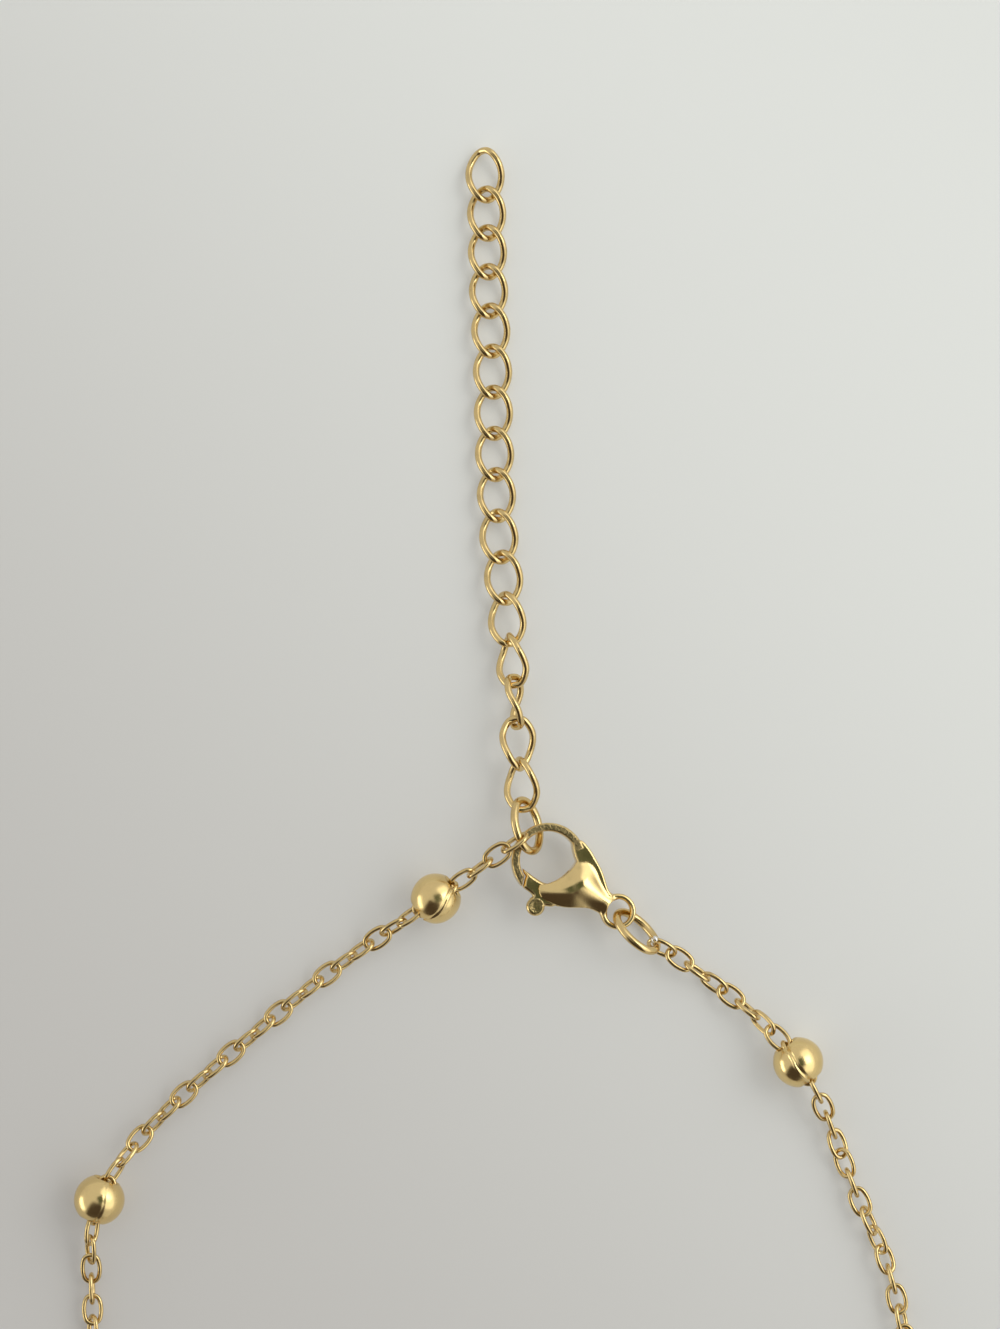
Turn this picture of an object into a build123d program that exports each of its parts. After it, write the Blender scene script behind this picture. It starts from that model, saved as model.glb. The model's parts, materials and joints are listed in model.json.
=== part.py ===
from build123d import *
from collections import namedtuple
from math import atan2, cos, degrees, hypot, pi, radians, sin, sqrt
import os

# Ball station chain anklet, lying flat: a lobster clasp, a fine cable chain with seven
# hollow balls clamped on it, and a curb extender. Millimetres, +Z up, floor at z = 0.
# Places are given on a chart whose origin is the middle of the hook ring, +Y along the
# extender. At the end the whole is moved so that its box stands centred on the origin.

# Fine cable chain
CABLE_WIRE = 0.31
CABLE_LENGTH = 2.4
CABLE_WIDTH = 1.58
CABLE_END_RADIUS = 0.58
CABLE_PITCH = 1.52
CABLE_HEIGHT = 0.8
ROLL_STEP = 60.0

# Hollow balls clamped on the chain
BEAD_RADIUS = 1.83
BEAD_WALL = 0.25
BEAD_HOLE_RADIUS = 0.92
BEAD_COUNT = 7
LINKS_BETWEEN_BEADS = 22
BEAD_LEVEL_RUN = 2.2
BEAD_RISE_RUN = 3.8

# Curb extender
CURB_WIRE = 0.5
CURB_LENGTH = 4.16
CURB_WIDTH = 2.9
CURB_TWIST = 42.0
CURB_FULLNESS = 0.85
EXTENDER_GRIP = 1.5

# Plain rings
RING_WIRE = 0.6
HOOK_RING_LENGTH = 4.4
HOOK_RING_WIDTH = 3.6
HOOK_RING_END_RADIUS = 1.25
JUMP_RING_LENGTH = 4.35
JUMP_RING_WIDTH = 3.5
JUMP_RING_END_RADIUS = 1.3

# Clasp: its hook's middle is at its own (0, 0), the end ring along +X, the spine on +Y
HOOK_OUTER = 2.72
HOOK_INNER = 2.11
HOOK_THICKNESS = 1.0
HOOK_EDGE = 0.18
HOOK_TIP_ANGLE = 268.0
HOOK_MOUTH_RADIUS = 3.25
HOOK_ROOT_ANGLE = 60.0
BODY_THICKNESS = 2.3
BODY_DOME_RADIUS = 6.0
BODY_DOME_MIDDLE = (2.6, -0.3)
SPINE_THICKNESS = 1.2
NECK_START = 3.4
NECK_LENGTH = 2.25
NECK_Y = -0.05
NECK_RADIUS = 1.05
NECK_TIP_RADIUS = 0.68
END_RING_X = 6.34
END_RING_OUTER = 1.32
END_RING_HOLE = 0.90
END_RING_THICKNESS = 0.8
LEVER_THICKNESS = 0.6
LEVER_SLOT = 0.8
LEVER_PIVOT = (2.35, -1.0)
LEVER_TAB = (1.22, -3.28)
LEVER_TAB_RADIUS = 0.68
LEVER_BOSS_RADIUS = 0.6
PIN_RADIUS = 0.25
PIN_HOLE_RADIUS = 0.3
PIN_LENGTH = 1.8
LEVER_OUTLINE = (
    (-1.08, -1.59), (0.20, -1.58), (0.95, -1.40), (1.90, -0.62), (2.35, -0.40), (2.95, -1.00),
    (2.35, -2.40), (1.75, -2.85), (1.22, -3.28), (0.56, -3.10), (0.60, -2.80), (0.30, -2.70),
    (-0.32, -2.69), (-0.43, -2.51), (-0.52, -2.32), (-0.60, -2.13), (-0.66, -1.92), (-0.90, -1.82),
    (-1.12, -1.66),
)
LEVER_SLOT_OUTLINE = (
    (-0.30, -3.40), (-0.30, 0.30), (1.90, 0.30), (2.50, -0.20), (3.15, -0.70), (3.15, -1.40),
    (2.60, -2.20), (2.50, -3.40),
)

Pose = namedtuple("Pose", "x y z heading rise roll")
CurbRow = namedtuple("CurbRow", "x y z roll")

# Where the hard pieces lie. Heading is the long axis seen from above, rise lifts its far
# end, and roll turns the piece about its long axis.
CLASP_POSE = Pose(1.48, -2.79, 1.82, -36.4, -4.0, -7.0)
HOOK_RING_POSE = Pose(-0.05, -0.27, 1.98, 100.5, -9.8, 56.4)
JUMP_RING_POSE = Pose(7.95, -7.98, 1.60, -45.6, 9.3, -61.4)
HOOK_RING_LINK_POSE = Pose(-0.96, -1.49, 3.10, 213.4, -8.5, 66.4)
JUMP_RING_LINK_POSE = Pose(9.80, -9.19, 1.17, -27.6, -8.4, 45.2)

# Extender links from the free end to the hook ring: middle, height and roll of each
EXTENDER = (
    CurbRow(-3.12, 47.40, 0.61, 0.0),
    CurbRow(-3.00, 44.58, 0.61, 0.0),
    CurbRow(-2.94, 41.74, 0.61, 0.0),
    CurbRow(-2.86, 38.88, 0.61, 0.0),
    CurbRow(-2.70, 35.98, 0.61, 0.0),
    CurbRow(-2.57, 32.97, 0.61, 0.0),
    CurbRow(-2.50, 29.95, 0.61, 0.0),
    CurbRow(-2.42, 26.93, 0.61, 0.0),
    CurbRow(-2.28, 23.91, 0.63, 0.0),
    CurbRow(-2.11, 20.87, 0.71, -4.0),
    CurbRow(-1.76, 17.84, 0.86, -3.0),
    CurbRow(-1.52, 14.80, 1.04, -16.0),
    CurbRow(-1.16, 11.78, 1.32, -45.0),
    CurbRow(-0.90, 8.75, 1.50, -97.0),
    CurbRow(-0.69, 5.72, 1.58, -151.0),
    CurbRow(-0.46, 2.72, 1.66, -213.0),
)

# The cable chain's way seen from above, from the hook ring's first link round to the
# jump ring's. The loop's middle is found so that the whole number of links fits it.
WAY_START = (-1.59, -1.90)
WAY_START_HEIGHT = 2.98
FIRST_BEAD = (-6.68, -5.56)
WAY_LEFT = ((-14.84, -11.29), (-21.95, -17.17), (-28.30, -23.10), (-31.30, -27.82), (-31.75, -35.30))
LOOP_MIDDLE_X = -1.8
LOOP_RADIUS = 30.4
WAY_RIGHT = ((27.15, -35.70), (25.84, -31.22), (23.99, -27.12), (22.26, -22.50))
LAST_BEAD = (19.73, -17.53)
WAY_BACK = ((17.28, -14.75), (13.63, -11.80))
WAY_END = (10.47, -9.54)
WAY_END_HEIGHT = 1.06
LINKS_BEFORE_BEADS = 4
LINKS_AFTER_BEADS = 8
BEAD_SPACING = 33.1
WAY_STEPS = 4000

# Rolls of the links where the chain lies less evenly: before the first ball, past the
# second one, back from the last one, and after it
ROLLS_BEFORE_BEADS = (0, 75, 145, 60)
SECOND_BEAD_ROLLS = (60, 0, 90)
LAST_BEAD_ROLLS = (-20, 90, 0, 90, 30, 150, 90, 0, 60, 130, 30, 90, 0, 60)
ROLLS_AFTER_BEADS = (75, 15, -45, -105, -165, -225, -285, -345)


def place(pose):
    """Location of a piece from its pose."""
    heading, rise, roll = radians(pose.heading), radians(pose.rise), radians(pose.roll)
    along = Vector(cos(heading) * cos(rise), sin(heading) * cos(rise), sin(rise))
    level = Vector(-sin(heading), cos(heading), 0)
    normal = along.cross(level) * cos(roll) - level * sin(roll)
    return Plane(origin=(pose.x, pose.y, pose.z), x_dir=along, z_dir=normal).location


def pose_between(start, end, roll):
    """Pose of a link whose long axis runs from one point towards another."""
    middle, along = (start + end) * 0.5, (end - start).normalized()
    heading = degrees(atan2(along.Y, along.X))
    rise = degrees(atan2(along.Z, hypot(along.X, along.Y)))
    return Pose(middle.X, middle.Y, middle.Z, heading, rise, roll)


def oval_ring(length, width, wire, end_radius):
    """Closed ring of round wire, an oval of four tangent arcs lying flat, long along X."""
    half_length, half_width = (length - wire) / 2, (width - wire) / 2
    end_middle = half_length - end_radius
    sag = half_width - end_radius
    side_middle = (end_middle**2 - sag**2) / (2 * sag)
    turn = atan2(end_middle, side_middle)
    joint_x = end_middle + end_radius * sin(turn)
    joint_y = end_radius * cos(turn)
    with BuildPart() as ring:
        with BuildLine() as path:
            ThreePointArc((joint_x, -joint_y), (half_length, 0), (joint_x, joint_y))
            ThreePointArc((joint_x, joint_y), (0, half_width), (-joint_x, joint_y))
            ThreePointArc((-joint_x, joint_y), (-half_length, 0), (-joint_x, -joint_y))
            ThreePointArc((-joint_x, -joint_y), (0, -half_width), (joint_x, -joint_y))
        with BuildSketch(Plane(origin=path.line @ 0, z_dir=path.line % 0)):
            Circle(wire / 2)
        sweep()
    return ring.part


def curb_point(angle, half_length, half_width):
    """Corner of the twisted oval's frame, the twist growing evenly along it."""
    full = abs(cos(angle)) ** CURB_FULLNESS
    along, across = half_length * sin(angle), half_width * (full if cos(angle) < 0 else -full)
    twist = -radians(CURB_TWIST) * along / half_length
    return Vector(along, across * cos(twist), across * sin(twist))


def curb_ring():
    """Twisted oval link of round wire: half of it is swept, then turned for the other."""
    half_length, half_width = (CURB_LENGTH - CURB_WIRE) / 2, (CURB_WIDTH - CURB_WIRE) / 2
    spread = 1 / cos(pi / 8)
    angles = [pi / 8 + n * pi / 4 for n in range(4)]
    corners = [curb_point(a, half_length * spread, half_width * spread) for a in angles]
    starts = [Vector(0, corners[0].Y, 0), *corners, Vector(0, corners[-1].Y, 0)]
    radii = []
    for before, corner, after in zip(starts, starts[1:], starts[2:]):
        turn = radians((corner - before).get_angle(after - corner))
        shorter = min((corner - before).length, (after - corner).length)
        radii.append(0.45 * shorter / (sin(turn / 2) / cos(turn / 2)))
    with BuildPart() as half:
        with BuildLine() as path:
            FilletPolyline(*starts, radius=radii)
        with BuildSketch(Plane(origin=path.line @ 0, z_dir=path.line % 0)):
            Circle(CURB_WIRE / 2)
        sweep()
    with BuildPart() as ring:
        add(half.part)
        with Locations(Location((0, 0, 0), (0, 0, 180))):
            add(half.part)
    return ring.part


def clasp_body():
    """Clasp's cast body in one piece: hook, spine, domed body, neck and end ring."""
    with BuildPart() as dome:
        with BuildSketch(Plane.XY.offset(-BODY_THICKNESS / 2)):
            with BuildLine():
                Spline((0.42, -2.10), (1.00, -1.29), (1.53, -0.41), (1.72, 0.56), (1.74, 1.20), (2.11, 1.72))
                Spline((2.11, 1.72), (2.80, 1.88), (3.70, 1.38), (4.60, 0.80), (5.60, 0.55))
                Line((5.60, 0.55), (5.60, -0.65))
                Spline((5.60, -0.65), (4.40, -1.12), (3.00, -2.06), (2.15, -2.38), (1.21, -2.52), (0.50, -2.46))
                Line((0.50, -2.46), (0.42, -2.10))
            make_face()
        extrude(amount=BODY_THICKNESS)
        drop = BODY_DOME_RADIUS - BODY_THICKNESS / 2
        for side in (1, -1):
            with Locations((*BODY_DOME_MIDDLE, -side * drop)):
                Sphere(BODY_DOME_RADIUS, mode=Mode.INTERSECT)

    with BuildPart() as hook:
        with BuildSketch(Plane.XY.offset(-HOOK_THICKNESS / 2)):
            with BuildLine() as outline:
                outer = CenterArc((0, 0), HOOK_OUTER, HOOK_ROOT_ANGLE, HOOK_TIP_ANGLE - HOOK_ROOT_ANGLE)
                inner = CenterArc((0, 0), HOOK_INNER, HOOK_ROOT_ANGLE, HOOK_TIP_ANGLE - HOOK_ROOT_ANGLE)
                Line(outer @ 0, inner @ 0)
                Line(outer @ 1, inner @ 1)
            make_face()
        extrude(amount=HOOK_THICKNESS)
        rims = hook.edges().filter_by(GeomType.CIRCLE)
        fillet(rims.filter_by(lambda e: abs(e.radius - HOOK_OUTER) < 0.001), HOOK_EDGE)
        with BuildSketch(Plane.XY.offset(-HOOK_THICKNESS / 2)):
            with Locations(LEVER_PIVOT):
                Circle(HOOK_MOUTH_RADIUS)
            with Locations((0, -HOOK_OUTER)):
                Rectangle(2 * HOOK_OUTER, HOOK_OUTER, mode=Mode.INTERSECT)
        extrude(amount=HOOK_THICKNESS, mode=Mode.SUBTRACT)

    rim = END_RING_OUTER - END_RING_HOLE
    with BuildPart() as end_ring:
        with BuildSketch(Plane.XZ):
            with Locations((END_RING_HOLE + rim / 2, 0)):
                SlotOverall(END_RING_THICKNESS, rim, rotation=90)
        revolve(axis=Axis.Z)

    with BuildPart() as body:
        add(dome.part)
        add(hook.part)
        with Locations((END_RING_X, 0, 0)):
            add(end_ring.part)
        with BuildSketch(Plane.XY.offset(-SPINE_THICKNESS / 2)):
            with BuildLine():
                Spline((0.95, 2.47), (1.27, 2.59), (2.11, 2.38), (3.71, 1.62), (4.70, 0.90), (5.30, 0.55))
                Line((5.30, 0.55), (4.00, 0.00))
                Line((4.00, 0.00), (1.69, 1.17))
                Spline((1.69, 1.17), (1.25, 1.47), (0.90, 1.77), (0.70, 2.05))
                Line((0.70, 2.05), (0.95, 2.47))
            make_face()
        extrude(amount=SPINE_THICKNESS)
        with Locations(Location((NECK_START, NECK_Y, 0), (0, 90, 0))):
            Cone(NECK_RADIUS, NECK_TIP_RADIUS, NECK_LENGTH, align=(Align.CENTER, Align.CENTER, Align.MIN))
        with BuildSketch(Plane.XY.offset(-LEVER_SLOT / 2)):
            with BuildLine():
                Polyline(*LEVER_SLOT_OUTLINE, close=True)
            make_face()
        extrude(amount=LEVER_SLOT, mode=Mode.SUBTRACT)
        with Locations(LEVER_PIVOT):
            Cylinder(PIN_RADIUS, PIN_LENGTH, mode=Mode.SUBTRACT)
    return body.part


def clasp_lever():
    """Thumb lever: an arm that fills the hook's mouth, its boss on the pin, and a round tab."""
    with BuildPart() as lever:
        with BuildSketch(Plane.XY.offset(-LEVER_THICKNESS / 2)):
            with BuildLine():
                Polyline(*LEVER_OUTLINE, close=True)
            make_face()
            with Locations(LEVER_TAB):
                Circle(LEVER_TAB_RADIUS)
            with Locations(LEVER_PIVOT):
                Circle(LEVER_BOSS_RADIUS)
                Circle(PIN_HOLE_RADIUS, mode=Mode.SUBTRACT)
        extrude(amount=LEVER_THICKNESS)
    return lever.part


def way_points(loop_y):
    """Chart points that the cable chain's way passes, for a loop whose middle is at loop_y."""
    loop = []
    for angle in (180, 225, 270, 315, 360):
        turn = radians(angle)
        loop.append((LOOP_MIDDLE_X + LOOP_RADIUS * cos(turn), loop_y + LOOP_RADIUS * sin(turn)))
    return (WAY_START, FIRST_BEAD, *WAY_LEFT, *loop, *WAY_RIGHT, LAST_BEAD, *WAY_BACK, WAY_END)


def close_set_way(loop_y):
    """The way as close-set points, the length run at each, and at the first and last bead."""
    with BuildLine() as line:
        Spline(*way_points(loop_y))
    points = line.edges()[0].positions([n / WAY_STEPS for n in range(WAY_STEPS + 1)])
    runs = [0.0]
    for before, after in zip(points, points[1:]):
        runs.append(runs[-1] + (after - before).length)
    bead_runs = []
    for bead in (FIRST_BEAD, LAST_BEAD):
        nearest = min(range(len(points)), key=lambda n: (points[n] - Vector(*bead)).length)
        bead_runs.append(runs[nearest])
    return points, runs, bead_runs


def fitted_way():
    """The way whose beads come out evenly spaced, found by halving the loop's place."""
    low, high = -90.0, -40.0
    wanted = BEAD_SPACING * (BEAD_COUNT - 1)
    while high - low > 0.001:
        loop_y = (low + high) / 2
        points, runs, bead_runs = close_set_way(loop_y)
        if bead_runs[1] - bead_runs[0] > wanted:
            low = loop_y
        else:
            high = loop_y
    return points, runs, bead_runs


def way_height(run, whole, bead_runs):
    """Height of the chain's middle: up at each ball's middle and at both of its ends."""
    first, last = bead_runs
    if run < first:
        return WAY_START_HEIGHT + (BEAD_RADIUS - WAY_START_HEIGHT) * run / first
    turns = min(max(round((run - first) / BEAD_SPACING), 0), BEAD_COUNT - 1)
    away = abs(run - first - turns * BEAD_SPACING)
    share = min(max((away - BEAD_LEVEL_RUN) / BEAD_RISE_RUN, 0), 1)
    height = CABLE_HEIGHT + (BEAD_RADIUS - CABLE_HEIGHT) * (1 + cos(pi * share)) / 2
    share = min(max(1 - (whole - run) / BEAD_RISE_RUN, 0), 1)
    return height + (WAY_END_HEIGHT - CABLE_HEIGHT) * (1 - cos(pi * share)) / 2


def march(trail, start_run, pitch, count):
    """Joints a pitch apart along the raised way from one run on, and the run reached."""
    far_enough = start_run + pitch * (count + 1)
    ahead = [step for step in trail if start_run <= step[1] <= far_enough]
    before = ahead[0][0]
    joints = [before]
    for point, run in ahead[1:]:
        reach = (point - joints[-1]).length
        if reach >= pitch:
            short = (before - joints[-1]).length
            joints.append(before + (point - before) * ((pitch - short) / (reach - short)))
            if len(joints) > count:
                return joints, run
        before = point
    return joints, far_enough


def even_joints(trail, start_run, end_run, count):
    """Joints that cut a stretch of the raised way into a whole number of equal links."""
    low, high = CABLE_PITCH * 0.9, CABLE_PITCH * 1.1
    while high - low > 0.0001:
        pitch = (low + high) / 2
        joints, reached = march(trail, start_run, pitch, count)
        if reached < end_run:
            low = pitch
        else:
            high = pitch
    print("links", count, "pitch", round(pitch, 4))
    return joints


def cable_rolls():
    """Roll of each cable link between the two rings' own links."""
    rolls = [ROLL_STEP * n for n in range(LINKS_BETWEEN_BEADS * (BEAD_COUNT - 1))]
    start = LINKS_BETWEEN_BEADS + 2
    rolls[start:start + len(SECOND_BEAD_ROLLS)] = SECOND_BEAD_ROLLS
    for n, roll in enumerate(LAST_BEAD_ROLLS):
        rolls[-1 - n] = roll
    return [*ROLLS_BEFORE_BEADS, *rolls, *ROLLS_AFTER_BEADS]


# Single pieces at their own origin
outer_reach = sqrt(BEAD_RADIUS**2 - BEAD_HOLE_RADIUS**2)
inner_radius = BEAD_RADIUS - BEAD_WALL
inner_reach = sqrt(inner_radius**2 - BEAD_HOLE_RADIUS**2)
with BuildPart() as bead:
    with BuildSketch():
        with BuildLine():
            ThreePointArc((-outer_reach, BEAD_HOLE_RADIUS), (0, BEAD_RADIUS), (outer_reach, BEAD_HOLE_RADIUS))
            Line((outer_reach, BEAD_HOLE_RADIUS), (inner_reach, BEAD_HOLE_RADIUS))
            ThreePointArc((inner_reach, BEAD_HOLE_RADIUS), (0, inner_radius), (-inner_reach, BEAD_HOLE_RADIUS))
            Line((-inner_reach, BEAD_HOLE_RADIUS), (-outer_reach, BEAD_HOLE_RADIUS))
        make_face()
    revolve(axis=Axis.X)

cable_link = oval_ring(CABLE_LENGTH, CABLE_WIDTH, CABLE_WIRE, CABLE_END_RADIUS)
curb_link = curb_ring()
hook_ring = oval_ring(HOOK_RING_LENGTH, HOOK_RING_WIDTH, RING_WIRE, HOOK_RING_END_RADIUS)
jump_ring = oval_ring(JUMP_RING_LENGTH, JUMP_RING_WIDTH, RING_WIRE, JUMP_RING_END_RADIUS)

with BuildPart() as pin:
    Cylinder(PIN_RADIUS, PIN_LENGTH)

# Every piece by name, with the places that it is put at
clasp_place = place(CLASP_POSE)
pieces = {
    "clasp_body": (clasp_body(), [clasp_place]),
    "clasp_lever": (clasp_lever(), [clasp_place]),
    "clasp_pivot_pin": (pin.part, [clasp_place * Location((*LEVER_PIVOT, 0))]),
    "hook_ring": (hook_ring, [place(HOOK_RING_POSE)]),
    "jump_ring": (jump_ring, [place(JUMP_RING_POSE)]),
}

# Extender, each link in line with its two neighbours
ring_end = place(HOOK_RING_POSE) * Location((EXTENDER_GRIP, 0, 0))
middles = [Vector(row.x, row.y, row.z) for row in EXTENDER]
ends = [middles[0] * 2 - middles[1], *middles, ring_end.position]
for n, row in enumerate(EXTENDER):
    link_pose = pose_between(ends[n + 2], ends[n], row.roll)._replace(x=row.x, y=row.y, z=row.z)
    pieces[f"extender_link_{n + 1:02d}"] = (curb_link, [place(link_pose)])

# Cable chain: joints along the raised way, a link between each two, balls on their joints
points, runs, bead_runs = fitted_way()
trail = []
for point, run in zip(points, runs):
    trail.append((Vector(point.X, point.Y, way_height(run, runs[-1], bead_runs)), run))

joints = even_joints(trail, 0, bead_runs[0], LINKS_BEFORE_BEADS)[:-1]
for n in range(BEAD_COUNT):
    bead_run = bead_runs[0] + n * BEAD_SPACING
    reached = bead_run + BEAD_SPACING
    count = LINKS_BETWEEN_BEADS
    if n == BEAD_COUNT - 1:
        reached, count = runs[-1], LINKS_AFTER_BEADS
    stretch = even_joints(trail, bead_run, reached, count)
    bead_pose = pose_between(joints[-1], stretch[1], 0)._replace(
        x=stretch[0].X, y=stretch[0].Y, z=stretch[0].Z
    )
    pieces[f"bead_{n + 1}"] = (bead.part, [place(bead_pose)])
    joints += stretch[:-1]
joints.append(Vector(*WAY_END, WAY_END_HEIGHT))

link_places = [place(HOOK_RING_LINK_POSE)]
for start, end, roll in zip(joints, joints[1:], cable_rolls()):
    link_places.append(place(pose_between(start, end, roll)))
link_places.append(place(JUMP_RING_LINK_POSE))
half_way = len(link_places) // 2
pieces["cable_chain_left"] = (cable_link, link_places[:half_way])
pieces["cable_chain_right"] = (cable_link, link_places[half_way:])

# Put every piece in its place, centre the whole over the origin and write it out
placed = {}
for name, (shape, places) in pieces.items():
    with BuildPart() as piece:
        with Locations(*places):
            add(shape)
    placed[name] = piece.part

box = Compound(children=[part.moved(Location()) for part in placed.values()]).bounding_box()
to_origin = Location((-box.center().X, -box.center().Y, -box.min.Z))

os.makedirs("parts", exist_ok=True)
for name, part in placed.items():
    part = part.moved(to_origin)
    part.label = name
    export_step(part, f"parts/{name}.step")
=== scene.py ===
"""Looks of the ball station chain anklet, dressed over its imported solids.

The anklet lies flat: a fine cable chain with hollow balls clamped on it, a lobster clasp
that holds the ring of a curb extender, and a jump ring. Each sub-assembly is a class that
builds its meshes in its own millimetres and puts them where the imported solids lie.
"""

import json
import logging
from dataclasses import dataclass, field
from enum import Enum
from math import atan2, cos, pi, radians, sin, sqrt

import bpy
import numpy as np
from mathutils import Matrix, Vector


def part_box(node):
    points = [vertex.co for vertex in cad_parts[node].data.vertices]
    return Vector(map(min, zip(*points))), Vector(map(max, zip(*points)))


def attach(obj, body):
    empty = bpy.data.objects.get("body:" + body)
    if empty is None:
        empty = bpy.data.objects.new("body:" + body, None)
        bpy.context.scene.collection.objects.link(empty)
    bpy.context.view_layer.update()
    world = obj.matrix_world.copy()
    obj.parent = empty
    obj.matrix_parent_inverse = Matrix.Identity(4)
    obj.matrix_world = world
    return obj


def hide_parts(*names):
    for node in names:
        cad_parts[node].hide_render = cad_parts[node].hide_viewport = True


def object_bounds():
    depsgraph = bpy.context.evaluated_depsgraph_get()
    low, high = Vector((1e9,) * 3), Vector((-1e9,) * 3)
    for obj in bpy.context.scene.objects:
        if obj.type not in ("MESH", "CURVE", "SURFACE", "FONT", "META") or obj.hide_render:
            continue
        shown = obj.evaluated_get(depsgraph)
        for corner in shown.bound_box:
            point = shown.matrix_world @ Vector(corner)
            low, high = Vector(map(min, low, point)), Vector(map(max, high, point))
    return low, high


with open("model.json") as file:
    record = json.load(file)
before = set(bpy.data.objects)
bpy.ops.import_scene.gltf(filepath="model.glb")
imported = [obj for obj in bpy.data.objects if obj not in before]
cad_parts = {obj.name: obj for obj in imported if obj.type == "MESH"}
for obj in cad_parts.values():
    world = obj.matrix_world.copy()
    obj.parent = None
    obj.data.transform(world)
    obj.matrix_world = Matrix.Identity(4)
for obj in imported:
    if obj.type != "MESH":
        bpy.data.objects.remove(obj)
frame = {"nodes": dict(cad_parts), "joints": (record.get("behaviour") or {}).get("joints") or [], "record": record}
cad_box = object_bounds()

MM = 0.001
ANKLET = "anklet"
LEVER = "lever"
log = logging.getLogger("anklet")


class Slot(Enum):
    """Material slots of the record, listed; no piece here takes its finish from them."""

    BEAD = "bead_gold"
    CHAIN = "chain_gold"
    CLASP = "clasp_gold"


# ---------------------------------------------------------------- places and meshes


@dataclass(frozen=True)
class Place:
    """Where a piece lies: its middle in metres and its three own directions."""

    middle: np.ndarray
    along: np.ndarray
    across: np.ndarray
    up: np.ndarray

    def put(self, points: np.ndarray) -> np.ndarray:
        """Points of the piece's own millimetres, as metres in the frame."""
        return self.middle + MM * (points @ np.array([self.along, self.across, self.up]))


@dataclass
class Skin:
    """Growing set of points and quads that becomes one mesh."""

    points: list[np.ndarray] = field(default_factory=list)
    quads: list[np.ndarray] = field(default_factory=list)
    count: int = 0

    def add(self, points: np.ndarray, quads: np.ndarray) -> None:
        """Takes in one more closed surface.

        Args:
            points: Its corners, in metres in the frame.
            quads: Four corner numbers for each face, counted from 0.
        """
        self.points.append(points)
        self.quads.append(quads + self.count)
        self.count += len(points)

    def to_object(self, name: str) -> bpy.types.Object:
        """Makes one smooth mesh object of all that was taken in.

        Args:
            name: The object's name.

        Returns:
            The new object, linked into the scene.
        """
        mesh = bpy.data.meshes.new(name)
        mesh.from_pydata(np.concatenate(self.points).tolist(), [], np.concatenate(self.quads).tolist())
        mesh.polygons.foreach_set("use_smooth", [True] * len(mesh.polygons))
        mesh.update()
        piece = bpy.data.objects.new(name, mesh)
        bpy.context.scene.collection.objects.link(piece)
        return piece


def unit(vector: np.ndarray) -> np.ndarray:
    """The vector, or each row of an array of them, at length 1."""
    return vector / np.linalg.norm(vector, axis=-1, keepdims=True)


def ring_quads(rows: int, columns: int) -> np.ndarray:
    """Quads of a grid of points that closes on itself both ways.

    Args:
        rows: Points along the grid's first way.
        columns: Points along its second way.

    Returns:
        Four corner numbers for each face.
    """
    row, column = np.meshgrid(np.arange(rows), np.arange(columns), indexing="ij")
    next_row, next_column = (row + 1) % rows, (column + 1) % columns
    corners = [row * columns + column, next_row * columns + column]
    corners += [next_row * columns + next_column, row * columns + next_column]
    return np.stack(corners, axis=-1).reshape(-1, 4)


def turned_over(quads: np.ndarray) -> np.ndarray:
    """The same quads, facing the other way."""
    return quads[:, [0, 3, 2, 1]]


def closed_tube(line: np.ndarray, radii: np.ndarray, sides: int) -> tuple[np.ndarray, np.ndarray]:
    """Round wire swept along a closed line, without twisting where the ends meet.

    Args:
        line: Points of the wire's middle, in order round the loop.
        radii: The wire's radius at each of them.
        sides: Points round the wire.

    Returns:
        The tube's points, and its quads facing outwards.
    """
    ways = unit(np.roll(line, -1, axis=0) - np.roll(line, 1, axis=0))
    normal = unit(np.cross(ways[0], [0.3, 0.5, 0.8]))
    normals = []
    for way in np.vstack([ways, ways[:1]]):
        normal = unit(normal - way * (normal @ way))
        normals.append(normal)
    first, last = normals[0], normals.pop()
    slip = atan2(np.cross(last, first) @ ways[0], last @ first)
    normals = np.array(normals)
    sideways = np.cross(ways, normals)
    turns = slip * np.arange(len(line)) / len(line)
    angles = turns[:, None] + 2 * pi * np.arange(sides)[None, :] / sides
    spokes = np.cos(angles)[..., None] * normals[:, None] + np.sin(angles)[..., None] * sideways[:, None]
    points = line[:, None] + radii[:, None, None] * spokes
    return points.reshape(-1, 3), turned_over(ring_quads(len(line), sides))


def closed_ball(rows: int, columns: int) -> tuple[np.ndarray, np.ndarray]:
    """Ball of radius 1 about the third axis, its two ends closed with quads as well.

    Args:
        rows: Points round the axis, an even number.
        columns: Points from one end to the other.

    Returns:
        The ball's points, and its quads facing outwards.
    """
    turns, falls = 2 * pi * np.arange(rows) / rows, pi * (np.arange(columns) + 0.5) / columns
    turn, fall = np.meshgrid(turns, falls, indexing="ij")
    points = np.stack([np.sin(fall) * np.cos(turn), np.sin(fall) * np.sin(turn), np.cos(fall)], -1)
    quads = ring_quads(rows, columns)
    spans_ends = (quads.max(axis=1) % columns == columns - 1) & (quads.min(axis=1) % columns == 0)
    strips = [(first, first + 1, rows - 2 - first, rows - 1 - first) for first in range(rows // 2 - 1)]
    top = np.array(strips) * columns
    bottom = turned_over(top) + columns - 1
    return points.reshape(-1, 3), np.concatenate([turned_over(quads[~spans_ends]), top, bottom])


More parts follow.
